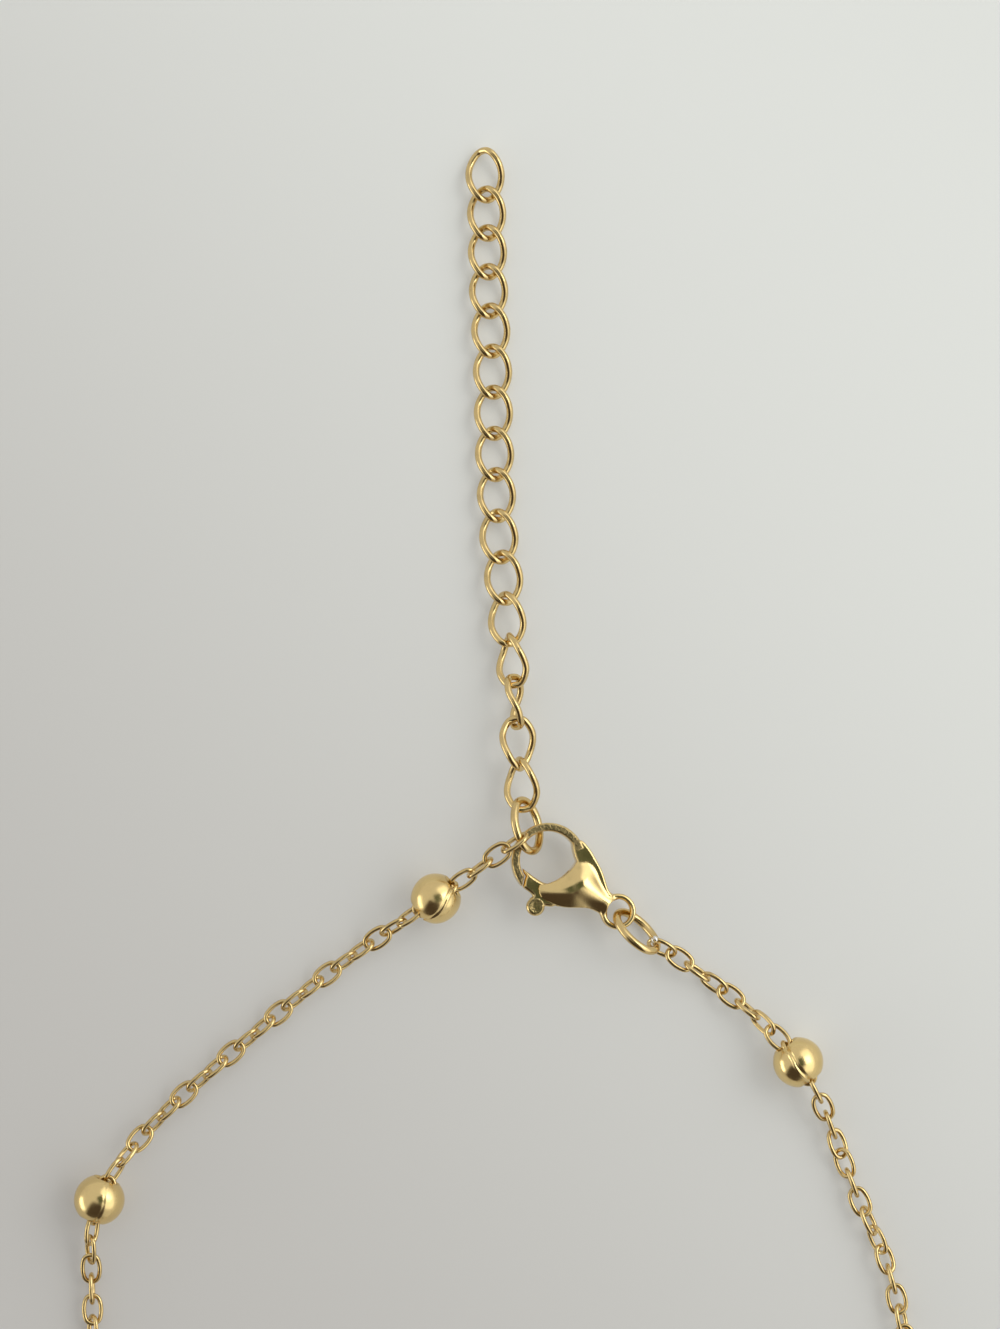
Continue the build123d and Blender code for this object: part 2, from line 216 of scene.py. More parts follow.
def surface_net(solid: np.ndarray, low: np.ndarray, step: float) -> tuple[np.ndarray, np.ndarray]:
    """Quads round the zero of a field that is negative inside.

    Args:
        solid: The field on a grid of points.
        low: The grid's first point.
        step: Its spacing.

    Returns:
        The surface's points, and its quads facing outwards.
    """
    cells = tuple(n - 1 for n in solid.shape)
    total, crossings = np.zeros((*cells, 3)), np.zeros(cells)
    for axis in range(3):
        others = [n for n in range(3) if n != axis]
        for near in ((0, 0), (0, 1), (1, 0), (1, 1)):
            window = [slice(0, cells[0]), slice(0, cells[1]), slice(0, cells[2])]
            for other, shift in zip(others, near):
                window[other] = slice(shift, cells[other] + shift)
            start = solid[tuple(window)]
            window[axis] = slice(1, cells[axis] + 1)
            end = solid[tuple(window)]
            crossed = (start < 0) != (end < 0)
            share = np.where(crossed, start / np.where(crossed, start - end, 1), 0)
            total[..., axis] += share
            for other, shift in zip(others, near):
                total[..., other] += shift * crossed
            crossings += crossed
    used = crossings > 0
    numbers = np.full(cells, -1)
    numbers[used] = np.arange(used.sum())
    points = low + step * (np.argwhere(used) + total[used] / crossings[used][:, None])
    quads = []
    for axis in range(3):
        first, second = (axis + 1) % 3, (axis + 2) % 3
        start = np.moveaxis(solid, (axis, first, second), (0, 1, 2))
        ids = np.moveaxis(numbers, (axis, first, second), (0, 1, 2))
        inside = start < 0
        change = inside[:-1, 1:-1, 1:-1] != inside[1:, 1:-1, 1:-1]
        i, j, k = np.nonzero(change)
        leaving = inside[i, j + 1, k + 1]
        round_edge = [ids[i, j, k], ids[i, j + 1, k], ids[i, j + 1, k + 1], ids[i, j, k + 1]]
        face = np.stack(round_edge, axis=-1)
        face[~leaving] = face[~leaving][:, ::-1]
        quads.append(face)
    return points, np.concatenate(quads)


def smooth_loop(corners: tuple[tuple[float, float], ...], parts: int = 8) -> np.ndarray:
    """Closed curve through the corners, as many short sides.

    Args:
        corners: Points of the outline, in order.
        parts: Short sides between two of them.

    Returns:
        The outline's points.
    """
    near = np.array(corners)
    before, after, beyond = np.roll(near, 1, 0), np.roll(near, -1, 0), np.roll(near, -2, 0)
    share = (np.arange(parts) / parts)[None, :, None]
    before, near, after, beyond = (p[:, None] for p in (before, near, after, beyond))
    curve = 2 * near + (after - before) * share
    curve = curve + (2 * before - 5 * near + 4 * after - beyond) * share**2
    curve = curve + (3 * near - before - 3 * after + beyond) * share**3
    return (curve / 2).reshape(-1, 2)


def outline_distance(x: np.ndarray, y: np.ndarray, outline: np.ndarray) -> np.ndarray:
    """Distance from a closed outline, negative inside it.

    Args:
        x: First coordinates.
        y: Second coordinates.
        outline: The outline's points in order.

    Returns:
        The distance at each pair of coordinates.
    """
    nearest = np.full(x.shape, np.inf)
    inside = np.zeros(x.shape, bool)
    for (ax, ay), (bx, by) in zip(outline, np.roll(outline, -1, axis=0)):
        run_x, run_y = bx - ax, by - ay
        length = run_x**2 + run_y**2
        if length == 0:
            continue
        share = np.clip(((x - ax) * run_x + (y - ay) * run_y) / length, 0, 1)
        nearest = np.minimum(nearest, (x - ax - share * run_x) ** 2 + (y - ay - share * run_y) ** 2)
        if run_y != 0:
            passed = ((ay > y) != (by > y)) & (x < run_x * (y - ay) / run_y + ax)
            inside ^= passed
    return np.where(inside, -1, 1) * np.sqrt(nearest)


def slab(flat: np.ndarray, z: np.ndarray, half: float, edge: float) -> np.ndarray:
    """Field of a flat outline made thick, with rounded edges.

    Args:
        flat: Distance from the outline.
        z: Heights.
        half: Half its thickness.
        edge: Radius of its edges.

    Returns:
        The field, negative inside.
    """
    out, over = flat + edge, np.abs(z) - half + edge
    beyond = np.sqrt(np.maximum(out, 0) ** 2 + np.maximum(over, 0) ** 2)
    return beyond + np.minimum(np.maximum(out, over), 0) - edge


def blended(first: np.ndarray, second: np.ndarray, fillet: float) -> np.ndarray:
    """Union of two fields with a fillet of about that radius between them."""
    share = np.clip(0.5 + 0.5 * (second - first) / fillet, 0, 1)
    return second + (first - second) * share - fillet * share * (1 - share)


def ripple(points: np.ndarray, size: float, seed: int) -> np.ndarray:
    """Smooth uneven swell over space, between about -1 and 1.

    Args:
        points: Where it is wanted.
        size: Length of one swell.
        seed: Which swell this is.

    Returns:
        Its height at each point.
    """
    chance = np.random.default_rng(seed)
    ways = unit(chance.normal(size=(7, 3)))
    waves = chance.uniform(0.7, 1.6, 7) * 2 * pi / size
    starts = chance.uniform(0, 2 * pi, 7)
    return np.sin((points @ ways.T) * waves + starts).sum(axis=-1) / 7 * 1.6


def solid_places(node: str) -> list[Place]:
    """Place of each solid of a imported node, from how its surface is spread.

    Args:
        node: The node's name.

    Returns:
        One place for each solid: along its longest way, up across its flattest.
    """
    mesh = frame["nodes"][node].data
    mesh.calc_loop_triangles()
    corners = np.zeros(len(mesh.vertices) * 3)
    mesh.vertices.foreach_get("co", corners)
    corners, same = np.unique(corners.reshape(-1, 3).round(7), axis=0, return_inverse=True)
    faces = np.zeros(len(mesh.loop_triangles) * 3, int)
    mesh.loop_triangles.foreach_get("vertices", faces)
    faces = same.reshape(-1)[faces].reshape(-1, 3)
    groups = np.arange(len(corners))
    while True:
        lowest = groups.copy()
        for end in range(3):
            np.minimum.at(lowest, faces[:, end], groups[faces[:, end - 1]])
            np.minimum.at(lowest, faces[:, end - 1], groups[faces[:, end]])
        lowest = lowest[lowest]
        if (lowest == groups).all():
            break
        groups = lowest
    at = corners[faces]
    areas = np.linalg.norm(np.cross(at[:, 1] - at[:, 0], at[:, 2] - at[:, 0]), axis=1)
    at, owners = at.mean(1), groups[faces[:, 0]]
    places = []
    for group in np.unique(owners):
        own, weights = at[owners == group], areas[owners == group]
        middle = (own * weights[:, None]).sum(0) / weights.sum()
        spread = np.linalg.eigh(((own - middle) * weights[:, None]).T @ (own - middle))[1]
        along, up = spread[:, 2], spread[:, 0]
        places.append(Place(middle, along, np.cross(up, along), up))
    return places


# ---------------------------------------------------------------- finishes


@dataclass(frozen=True)
class Gold:
    """Polished gold plate, with softer patches, fine scuffs and some tarnish.

    Lengths are in millimetres. Grain is the share of a cast, unpolished face, which a mesh may carry in its own
    attribute; it roughens and pits that face, and also pulls its colour towards the tarnish colour as painted
    shade of the dark room overhead that these flat faces mirror.
    """

    name: str
    colour: tuple[float, float, float] = (0.84, 0.635, 0.29)
    tarnish: tuple[float, float, float] = (0.42, 0.31, 0.15)
    tarnish_share: float = 0.35
    roughness: float = 0.14
    roughness_spread: float = 0.12
    patch_size: float = 1.1
    scuff_size: float = 0.09
    scuff_depth: float = 0.004
    grain_depth: float = 0.05
    # Weight of the painted shade on the cast faces' colour.
    grain_painted_shade: float = 0.9
    grain_roughness: float = 0.1
    has_grain: bool = False

    def material(self) -> bpy.types.Material:
        """Builds the finish.

        Returns:
            The material, one for each name.
        """
        if self.name in bpy.data.materials:
            return bpy.data.materials[self.name]
        material = bpy.data.materials.new(self.name)
        material.use_nodes = True
        tree = material.node_tree
        shader = tree.nodes["Principled BSDF"]
        shader.inputs["Metallic"].default_value = 1.0
        shader.inputs["IOR"].default_value = 1.45
        place = tree.nodes.new("ShaderNodeTexCoord").outputs["Object"]
        patches = self._noise(tree, place, self.patch_size, 3.0)
        tarnish = tree.nodes.new("ShaderNodeMix")
        tarnish.data_type = "RGBA"
        tarnish.inputs["A"].default_value = (*self.colour, 1)
        tarnish.inputs["B"].default_value = (*self.tarnish, 1)
        share = self._span(tree, patches, (0.5, 0.8), (0.0, self.tarnish_share))
        smoothest = self.roughness - self.roughness_spread / 2
        roughest = self.roughness + self.roughness_spread / 2
        soft_patches = self._noise(tree, place, self.patch_size * 0.6, 2.0)
        rough = self._span(tree, soft_patches, (0.3, 0.7), (smoothest, roughest))
        bump = tree.nodes.new("ShaderNodeBump")
        bump.inputs["Distance"].default_value = self.scuff_depth * MM
        tree.links.new(self._noise(tree, place, self.scuff_size, 3.0), bump.inputs["Height"])
        if self.has_grain:
            cast_grain_and_shade = tree.nodes.new("ShaderNodeAttribute")
            cast_grain_and_shade.attribute_name = "cast_grain_and_shade"
            # Painted shade: on the cast faces the colour is pulled towards the tarnish colour, standing in for the
            # dark overhead they mirror.
            share = self._sum(tree, share, cast_grain_and_shade.outputs["Fac"], self.grain_painted_shade)
            rough = self._sum(tree, rough, cast_grain_and_shade.outputs["Fac"], self.grain_roughness)
            pits = tree.nodes.new("ShaderNodeMath")
            pits.operation = "MULTIPLY"
            tree.links.new(self._noise(tree, place, self.scuff_size * 2.2, 4.0), pits.inputs[0])
            tree.links.new(cast_grain_and_shade.outputs["Fac"], pits.inputs[1])
            cast = tree.nodes.new("ShaderNodeBump")
            cast.inputs["Distance"].default_value = self.grain_depth * MM
            tree.links.new(pits.outputs["Value"], cast.inputs["Height"])
            tree.links.new(cast.outputs["Normal"], bump.inputs["Normal"])
        tree.links.new(share, tarnish.inputs["Factor"])
        tree.links.new(tarnish.outputs["Result"], shader.inputs["Base Color"])
        tree.links.new(rough, shader.inputs["Roughness"])
        tree.links.new(bump.outputs["Normal"], shader.inputs["Normal"])
        return material

    @staticmethod
    def _noise(
        tree: bpy.types.NodeTree, place: bpy.types.NodeSocket, size: float, detail: float
    ) -> bpy.types.NodeSocket:
        """Noise whose patches have that size in millimetres."""
        noise = tree.nodes.new("ShaderNodeTexNoise")
        noise.inputs["Scale"].default_value = 1 / (size * MM)
        noise.inputs["Detail"].default_value = detail
        tree.links.new(place, noise.inputs["Vector"])
        return noise.outputs["Fac"]

    @staticmethod
    def _span(
        tree: bpy.types.NodeTree,
        value: bpy.types.NodeSocket,
        given: tuple[float, float],
        wanted: tuple[float, float],
    ) -> bpy.types.NodeSocket:
        """The value's given range stretched to the wanted one."""
        span = tree.nodes.new("ShaderNodeMapRange")
        span.inputs["From Min"].default_value, span.inputs["From Max"].default_value = given
        span.inputs["To Min"].default_value, span.inputs["To Max"].default_value = wanted
        tree.links.new(value, span.inputs["Value"])
        return span.outputs["Result"]

    @staticmethod
    def _sum(
        tree: bpy.types.NodeTree, base: bpy.types.NodeSocket, more: bpy.types.NodeSocket, weight: float
    ) -> bpy.types.NodeSocket:
        """The base with a weighed share of another value added."""
        total = tree.nodes.new("ShaderNodeMath")
        total.operation = "MULTIPLY_ADD"
        total.use_clamp = True
        total.inputs[1].default_value = weight
        tree.links.new(more, total.inputs[0])
        tree.links.new(base, total.inputs[2])
        return total.outputs["Value"]


CHAIN_GOLD = Gold("chain gold", colour=(0.74, 0.55, 0.25), roughness=0.14, patch_size=0.8, tarnish_share=0.5)
BEAD_GOLD = Gold("bead gold", roughness=0.2, roughness_spread=0.1, patch_size=1.4, tarnish_share=0.2)
CLASP_GOLD = Gold(
    "clasp gold",
    tarnish=(0.30, 0.23, 0.11),
    roughness=0.15,
    roughness_spread=0.1,
    patch_size=1.6,
    has_grain=True,
)
SOLDER = Gold(
    "silver solder", colour=(0.86, 0.84, 0.80), tarnish=(0.5, 0.45, 0.38), roughness=0.2, patch_size=0.3
)


def settle(piece: bpy.types.Object, body: str, node: str, finish: Gold) -> bpy.types.Object:
    """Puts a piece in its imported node's stead and reports it.

    Args:
        piece: The piece, already in place.
        body: The body that it moves with.
        node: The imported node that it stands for.
        finish: Its finish.

    Returns:
        The same piece.
    """
    piece.data.materials.append(finish.material())
    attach(piece, body)
    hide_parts(node)
    log.info("%s: %d faces", piece.name, len(piece.data.polygons))
    return piece


# ---------------------------------------------------------------- chains and rings


@dataclass(frozen=True)
class OvalRing:
    """Flat oval of round wire made of four tangent arcs, in millimetres."""

    length: float
    width: float
    wire: float
    end_radius: float
    steps: int = 56
    sides: int = 12

    def line(self) -> np.ndarray:
        """Points of the wire's middle, evenly spread over the four arcs."""
        half_length, half_width = (self.length - self.wire) / 2, (self.width - self.wire) / 2
        end_middle, sag = half_length - self.end_radius, half_width - self.end_radius
        side_middle = (end_middle**2 - sag**2) / (2 * sag)
        turn = atan2(end_middle, side_middle)
        side_radius = half_width + side_middle
        count = self.steps // 4
        share = (np.arange(count) + 0.5) / count - 0.5
        ends, sides = share * (pi - 2 * turn), share * 2 * turn
        right = np.stack([end_middle + self.end_radius * np.cos(ends), self.end_radius * np.sin(ends)], 1)
        top = np.stack([-side_radius * np.sin(sides), side_radius * np.cos(sides) - side_middle], 1)
        flat = np.concatenate([right, top, -right, -top])
        return np.column_stack([flat, np.zeros(len(flat))])

    def skin(self, skin: Skin, place: Place) -> None:
        """Adds the ring to a skin.

        Args:
            skin: The skin that takes it in.
            place: Where it lies.
        """
        line = self.line()
        points, quads = closed_tube(line, np.full(len(line), self.wire / 2), self.sides)
        skin.add(place.put(points), quads)


@dataclass
class CableChain:
    """Fine cable chain in two halves, each a run of interlocked oval links."""

    link: OvalRing = OvalRing(length=2.4, width=1.58, wire=0.33, end_radius=0.56, steps=48, sides=12)
    solder_radius: float = 0.29
    solder_turn: float = 52.0
    solder_shape: tuple[float, float, float] = (1.0, 0.95, 0.88)
    solder_unevenness: float = 0.05
    solder_rows: int = 32
    solder_columns: int = 16
    finish: Gold = CHAIN_GOLD
    solder_finish: Gold = SOLDER

    def build(self) -> list[bpy.types.Object]:
        """Makes both halves.

        Returns:
            One object for each half.
        """
        halves = []
        for side in ("left", "right"):
            node = f"cable_chain_{side}"
            skin = Skin()
            for place in solid_places(node):
                self.link.skin(skin, place)
            links = skin.to_object(f"cable_{side}_links")
            halves.append(settle(links, ANKLET, node, self.finish))
        return halves

    def build_solder(self, ring: str) -> None:
        """Makes the bead of solder that closes the last link, the one in the jump ring.

        Args:
            ring: The jump ring's node.
        """
        ring_middle = solid_places(ring)[0].middle
        links = solid_places("cable_chain_right")
        last = min(links, key=lambda place: np.linalg.norm(place.middle - ring_middle))
        towards = 1 if (ring_middle - last.middle) @ last.along > 0 else -1
        upper = 1 if last.across[2] > 0 else -1
        turn, bend = radians(self.solder_turn), self.link.end_radius
        end_middle = (self.link.length - self.link.wire) / 2 - bend
        middle = (towards * (end_middle + bend * cos(turn)), upper * bend * sin(turn), 0.0)
        ball, quads = closed_ball(self.solder_rows, self.solder_columns)
        ball = ball * (1 + self.solder_unevenness * ripple(ball, 1.3, 5))[:, None] * self.solder_shape
        skin = Skin()
        skin.add(last.put(ball * self.solder_radius + middle), quads)
        dot = skin.to_object("last_link_solder")
        dot.data.materials.append(self.solder_finish.material())
        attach(dot, ANKLET)
        log.info("%s: %d faces", dot.name, len(dot.data.polygons))

    def middles(self) -> np.ndarray:
        """Middle of every link of both halves, in metres."""
        nodes = ("cable_chain_left", "cable_chain_right")
        return np.array([place.middle for node in nodes for place in solid_places(node)])


@dataclass
class PlainRings:
    """The ring that the clasp's hook holds and the jump ring in the clasp's end."""

    hook_ring: OvalRing = OvalRing(4.4, 3.6, 0.6, 1.25, steps=96, sides=20)
    jump_ring: OvalRing = OvalRing(4.35, 3.5, 0.6, 1.3, steps=96, sides=20)
    finish: Gold = CHAIN_GOLD

    def build(self) -> None:
        """Makes both rings."""
        for node, ring in (("hook_ring", self.hook_ring), ("jump_ring", self.jump_ring)):
            skin = Skin()
            ring.skin(skin, solid_places(node)[0])
            settle(skin.to_object(f"{node}_wire"), ANKLET, node, self.finish)


@dataclass
class CurbExtender:
    """Chain of twisted oval links that the clasp can close on, in millimetres."""

    count: int = 16
    length: float = 4.16
    width: float = 2.9
    wire: float = 0.5
    twist: float = 42.0
    fullness: float = 0.85
    pressed: float = 0.375
    steps: int = 96
    sides: int = 20
    finish: Gold = CHAIN_GOLD

    def line(self) -> np.ndarray:
        """Points of one link's wire: an oval whose plane turns along it."""
        angles = 2 * pi * (np.arange(self.steps) + 0.5) / self.steps
        along = (self.length - self.wire) / 2 * np.sin(angles)
        full = np.sign(np.cos(angles)) * np.abs(np.cos(angles)) ** self.fullness
        across = -(self.width - self.wire) / 2 * full
        turns = -radians(self.twist) * np.sin(angles)
        rise = across * np.sin(turns)
        rise /= (1 + np.abs(rise / self.pressed) ** 6) ** (1 / 6)
        return np.stack([along, across * np.cos(turns), rise], axis=1)

    def build(self) -> None:
        """Makes every link."""
        line = self.line()
        points, quads = closed_tube(line, np.full(self.steps, self.wire / 2), self.sides)
        for number in range(1, self.count + 1):
            node = f"extender_link_{number:02d}"
            skin = Skin()
            skin.add(solid_places(node)[0].put(points), quads)
            settle(skin.to_object(f"extender_{number:02d}_wire"), ANKLET, node, self.finish)


# ---------------------------------------------------------------- beads


@dataclass(frozen=True)
class Seam:
    """Seam of one ball: where it runs, how it leans from hole to hole, and how deep it is.

    Angles are in degrees, turned about the chain from straight up.
    """

    turn: float
    lean: float = 0.0
    depth: float = 0.08


@dataclass
class ClampedBeads:
    """Hollow balls folded shut round the chain, each with a seam from hole to hole."""

    radius: float = 1.83
    wall: float = 0.25
    hole: float = 0.92
    seams: tuple[Seam, ...] = (
        Seam(-28, 24, 0.055), Seam(-17, 6, 0.015), Seam(100, 5, 0.06), Seam(20, -10, 0.05),
        Seam(250, 8, 0.08), Seam(60, -12, 0.06), Seam(-8, 0, 0.12),
    )
    seam_width: float = 0.1
    seam_wander: float = 0.04
    dent: float = 0.016
    rows: int = 144
    over_steps: int = 73
    back_steps: int = 25
    lip_steps: int = 5
    finish: Gold = BEAD_GOLD

    def profile(self) -> np.ndarray:
        """Half section as (along, out) pairs: over the ball, in at a hole, and back inside."""
        outer_end = atan2(self.hole + self.wall * 0.3, sqrt(self.radius**2 - self.hole**2))
        inner = self.radius - self.wall
        inner_end = atan2(self.hole, sqrt(inner**2 - self.hole**2))
        over = np.linspace(outer_end, pi - outer_end, self.over_steps)
        back = np.linspace(pi - inner_end, inner_end, self.back_steps)
        lip = np.linspace(0, pi, self.lip_steps + 2)[1:-1]
        lip_middle = (self.radius + inner) / 2
        lip_turn = (outer_end + inner_end) / 2
        outside = self.radius * np.stack([np.cos(over), np.sin(over)], 1)
        inside = inner * np.stack([np.cos(back), np.sin(back)], 1)
        reach = lip_middle + self.wall / 2 * np.cos(lip)
        turn = lip_turn - self.wall / 3 / self.radius * np.sin(lip)
        far_lip = np.stack([-reach * np.cos(turn), reach * np.sin(turn)], 1)
        near_lip = far_lip[::-1] * (-1, 1)
        return np.concatenate([outside, far_lip, inside, near_lip])

    def build(self, middles: np.ndarray) -> None:
        """Makes every bead, its holes along the chain.

        Args:
            middles: Middle of every cable link, in metres.
        """
        profile = self.profile()
        turns = 2 * pi * np.arange(self.rows) / self.rows
        for number, seam in enumerate(self.seams, start=1):
            node = f"bead_{number}"
            low, high = (np.array(corner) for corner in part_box(node))
            place = self._place((low + high) / 2, middles)
            out = profile[:, 1][None, :]
            points = np.stack(
                [
                    np.broadcast_to(profile[:, 0], (self.rows, len(profile))),
                    out * np.sin(turns)[:, None],
                    out * np.cos(turns)[:, None],
                ],
                axis=-1,
            ).reshape(-1, 3)
            points = self._folded(points, seam, number)
            skin = Skin()
            skin.add(place.put(points), ring_quads(self.rows, len(profile)))
            settle(skin.to_object(f"bead_{number}_shell"), ANKLET, node, self.finish)

    def _folded(self, points: np.ndarray, seam: Seam, number: int) -> np.ndarray:
        """The ball's points with the seam pressed in and its dents.

        Args:
            points: The plain shell's points.
            seam: Its seam.
            number: The bead's number, which sets its dents.

        Returns:
            The moved points.
        """
        reach = np.linalg.norm(points, axis=1)
        lies = radians(seam.turn) + radians(seam.lean) * points[:, 0] / self.radius
        turn = np.arctan2(points[:, 1], points[:, 2]) - lies
        turn = (turn + pi) % (2 * pi) - pi
        wander = self.seam_wander * np.sin(points[:, 0] * 2.3 + number)
        off = (turn + wander) * np.hypot(points[:, 1], points[:, 2]) / self.seam_width
        near_hole = 1 + 0.8 * np.exp(-(((np.abs(points[:, 0]) - 1.45) / 0.25) ** 2))
        groove = -seam.depth * near_hole * np.exp(-((off - 0.6) ** 2))
        ridge = 0.55 * seam.depth * np.exp(-((off + 0.9) ** 2))
        step = -0.6 * seam.depth * (off < 0) * (1 - np.exp(-(off**2))) * np.exp(-((off / 8) ** 2))
        outside = np.clip((reach - self.radius + self.wall) / self.wall, 0, 1)
        swell = self.dent * ripple(points, 2.6, number)
        return points * (1 + outside * (groove + ridge + step + swell) / reach)[:, None]

    @staticmethod
    def _place(middle: np.ndarray, middles: np.ndarray) -> Place:
        """Place of a bead from the links that enter it on both sides."""
        away = np.linalg.norm(middles - middle, axis=1)
        near = middles[np.argsort(away)[:4]] - middle
        along = unit(near[np.argmax(near @ near[0])] - near[np.argmin(near @ near[0])])
        if along[0] < 0:
            along = -along
        across = unit(np.cross([0, 0, 1], along))
        return Place(middle, along, across, np.cross(along, across))


# ---------------------------------------------------------------- clasp


@dataclass
class LobsterClasp:
    """Lobster clasp: cast hook, spine, domed body and end ring in one, and its lever.

    Its own millimetres start at the middle of the hook, the end ring lying along +X and
    the spine on +Y.
    """

    hook_middle: float = 2.415
    hook_half_width: float = 0.305
    hook_half_height: float = 0.5
    hook_edge: float = 0.13
    hook_root: float = 60.0
    hook_tip: float = 268.0
    mouth_radius: float = 3.25
    mouth_top: float = -1.4
    body_half: float = 1.15
    body_crown: float = 6.0
    body_middle: tuple[float, float] = (2.3, -0.5)
    body_edge: float = 1.1
    body_wall: float = 0.55
    body_softening: int = 80
    crown_floor: float = 20.0
    spine_half: float = 0.6
    spine_edge: float = 0.14
    neck: tuple[float, float, float, float] = (3.0, 5.9, 1.05, 0.62)
    neck_y: float = -0.05
    neck_fillet: float = 0.35
    ring_fillet: float = 0.2
    spine_fillet: float = 0.05
    hook_fillet: float = 0.12
    ring_x: float = 6.34
    ring_outer: float = 1.32
    ring_hole: float = 0.90
    hole_rounding: float = 0.05
    ring_half: float = 0.42
    lever_half: float = 0.3
    lever_edge: float = 0.24
    slot_half: float = 0.4
    pivot: tuple[float, float] = (2.35, -1.0)
    boss: float = 0.6
    pin_hole: float = 0.3
    tab: tuple[float, float, float] = (1.22, -3.28, 0.68)
    dish_radius: float = 3.0
    dish_depth: float = 0.05
    step: float = 0.055
    body_low: tuple[float, float, float] = (-3.0, -3.2, -1.5)
    body_high: tuple[float, float, float] = (8.0, 3.0, 1.5)
    lever_low: tuple[float, float, float] = (-1.5, -4.3, -0.6)
    lever_high: tuple[float, float, float] = (3.4, 0.0, 0.6)
    finish: Gold = CLASP_GOLD
    body_outline: tuple[tuple[float, float], ...] = (
        (0.15, -2.17), (1.00, -1.35), (1.53, -0.41), (1.72, 0.56), (1.74, 1.20), (2.11, 1.70),
        (2.80, 1.86), (3.70, 1.38), (4.60, 0.80), (5.60, 0.55), (5.60, -0.65), (4.40, -1.12),
        (3.00, -2.06), (2.15, -2.38), (1.21, -2.52), (0.35, -2.42),
    )
    spine_outline: tuple[tuple[float, float], ...] = (
        (0.95, 2.47), (1.27, 2.59), (2.11, 2.38), (2.90, 2.03), (3.71, 1.62), (4.70, 0.90), (5.30, 0.55),
        (4.00, 0.00), (2.80, 0.60), (1.69, 1.17), (1.25, 1.47), (0.90, 1.77), (0.70, 2.05),
    )
    lever_outline: tuple[tuple[float, float], ...] = (
        (-1.08, -1.59), (0.20, -1.58), (0.95, -1.40), (1.90, -0.62), (2.35, -0.40), (2.95, -1.00),
        (2.35, -2.40), (1.75, -2.85), (1.22, -3.28), (0.56, -3.10), (0.60, -2.80), (0.30, -2.70),
        (-0.32, -2.69), (-0.43, -2.51), (-0.52, -2.32), (-0.60, -2.13), (-0.66, -1.92), (-0.90, -1.82),
        (-1.12, -1.66),
    )
    slot_outline: tuple[tuple[float, float], ...] = (
        (-0.30, -3.40), (-0.30, 0.30), (1.90, 0.30), (2.50, -0.20), (3.15, -0.70), (3.15, -1.40),
        (2.60, -2.20), (2.50, -3.40),
    )

    def place(self) -> Place:
        """The clasp's place, from its hook's mount and its lever's hinge."""
        mounts = {mount["name"]: mount for mount in frame["record"]["mounts"]}
        hook = mounts["clasp_hook"]
        middle, up = np.array(hook["pos_m"]), unit(np.array(hook["axis"]))
        towards = np.array(frame["joints"][0]["pos_m"]) - middle
        towards = unit(towards - up * (towards @ up))
        turn = -atan2(self.pivot[1], self.pivot[0])
        along = towards * cos(turn) + np.cross(up, towards) * sin(turn)
        return Place(middle, along, np.cross(up, along), up)

    def grid(self, low: tuple[float, float, float], high: tuple[float, float, float]) -> list[np.ndarray]:
        """Coordinates of the grid of points between two corners."""
        return np.meshgrid(*(np.arange(a, b, self.step) for a, b in zip(low, high)), indexing="ij")

    def cast_body(self, x: np.ndarray, y: np.ndarray, z: np.ndarray) -> np.ndarray:
        """Field of the cast body.

        Args:
            x: Coordinates along the clasp.
            y: Coordinates across it.
            z: Heights.

        Returns:
            The field, negative inside.
        """
        flat_x, flat_y = x[:, :, :1], y[:, :, :1]
        out = np.hypot(flat_x, flat_y)
        turn = np.degrees(np.arctan2(flat_y, flat_x)) % 360
        past_tip = np.radians(np.maximum(turn - self.hook_tip, self.hook_root - turn)) * self.hook_middle
        mouth = self.mouth_radius - np.hypot(flat_x - self.pivot[0], flat_y - self.pivot[1])
        past_tip = np.maximum(past_tip, np.where(flat_y < self.mouth_top, mouth, -1))
        hook = slab(
            np.maximum(np.abs(out - self.hook_middle) - self.hook_half_width, past_tip),
            z,
            self.hook_half_height,
            self.hook_edge,
        )
        flat = outline_distance(flat_x, flat_y, smooth_loop(self.spine_outline))
        spine = slab(flat, z, self.spine_half, self.spine_edge)
        depth = -outline_distance(flat_x, flat_y, smooth_loop(self.body_outline))
        middle_x, middle_y = self.body_middle
        crown = self.body_crown**2 - (flat_x - middle_x) ** 2 - (flat_y - middle_y) ** 2
        crown = np.sqrt(np.maximum(crown, self.crown_floor)) - self.body_crown + self.body_half
        rise = 1 - (1 - self.body_wall) * (1 - np.clip(depth / self.body_edge, 0, 1)) ** 2
        height = crown * rise
        for _ in range(self.body_softening):
            height = (height + np.roll(height, 1, 0) + np.roll(height, -1, 0)) / 3
            height = (height + np.roll(height, 1, 1) + np.roll(height, -1, 1)) / 3
        body = np.maximum(-depth, np.abs(z) - height)
        start, end, wide, narrow = self.neck
        share = np.clip((x - start) / (end - start), 0, 1)
        beside = x - start - share * (end - start)
        neck = np.hypot(np.hypot(y - self.neck_y, z), beside) - wide + share * (wide - narrow)
        out = np.hypot(x - self.ring_x, y)
        middle = (self.ring_outer + self.ring_hole) / 2
        half = (self.ring_outer - self.ring_hole) / 2
        ring = ((np.abs((out - middle) / half) ** 3 + np.abs(z / self.ring_half) ** 3) ** (1 / 3) - 1) * half
        solid = blended(blended(body, neck, self.neck_fillet), ring, self.ring_fillet)
        solid = blended(blended(hook, spine, self.spine_fillet), solid, self.hook_fillet)
        hole = self.ring_hole - self.hole_rounding - np.hypot(x - self.ring_x, y)
        slot = outline_distance(flat_x, flat_y, np.array(self.slot_outline))
        slot = np.maximum(slot, np.abs(z) - self.slot_half)
        return np.maximum(np.maximum(solid, hole), -slot)

